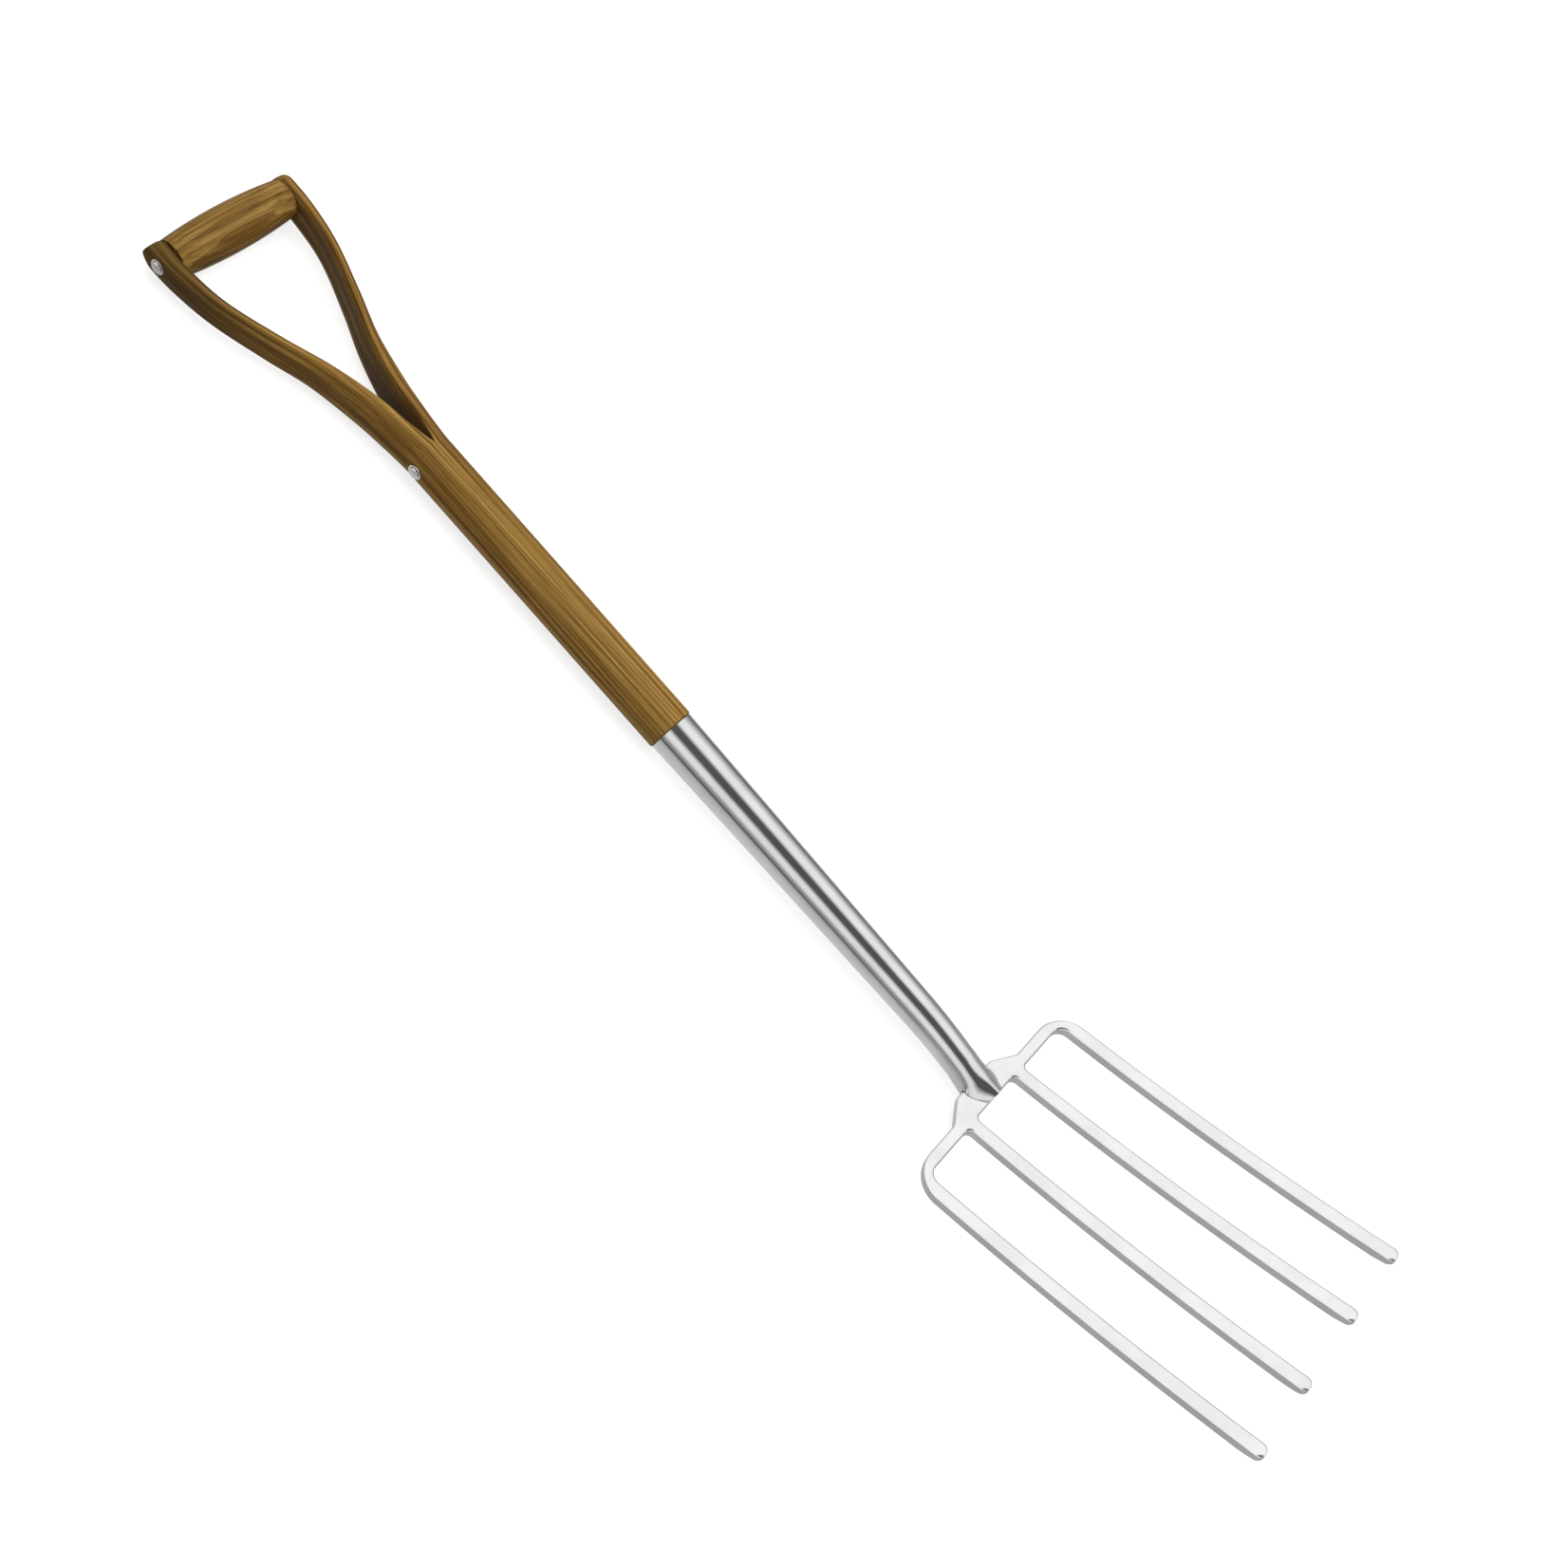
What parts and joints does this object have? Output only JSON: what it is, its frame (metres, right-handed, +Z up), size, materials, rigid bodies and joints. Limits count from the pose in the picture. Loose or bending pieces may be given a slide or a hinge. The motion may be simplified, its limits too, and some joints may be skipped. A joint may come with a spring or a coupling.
{
  "type": "digging fork",
  "caption": "Digging fork with a split ash shaft and D grip, a tapered steel socket and a polished head of curved tines.",
  "frame": {"origin": "bottom centre of the bounding box, with the fork lying on its back on the floor", "axes": "+X from the grip to the tine tips, +Y across the fork, +Z up, out of the hollow front side of the tines"},
  "size_m": [1.0506, 0.1906, 0.1201],
  "materials": {
    "ash_shaft": "golden brown varnished ash, grain along the shaft",
    "ash_grip": "golden brown varnished ash, grain across the fork",
    "rivet_metal": "bright satin",
    "socket_steel": "mirror polished stainless steel",
    "head_steel": "polished stainless steel"
  },
  "bodies": {
    "root": {"shaft": "ash_shaft", "grip": "ash_grip", "grip_rivet": "rivet_metal", "grip_washer_left": "rivet_metal", "grip_washer_right": "rivet_metal", "crotch_rivet": "rivet_metal", "crotch_washer_left": "rivet_metal", "crotch_washer_right": "rivet_metal", "socket": "socket_steel", "socket_rivet": "rivet_metal", "fork_head": "head_steel"}
  },
  "joints": []
}
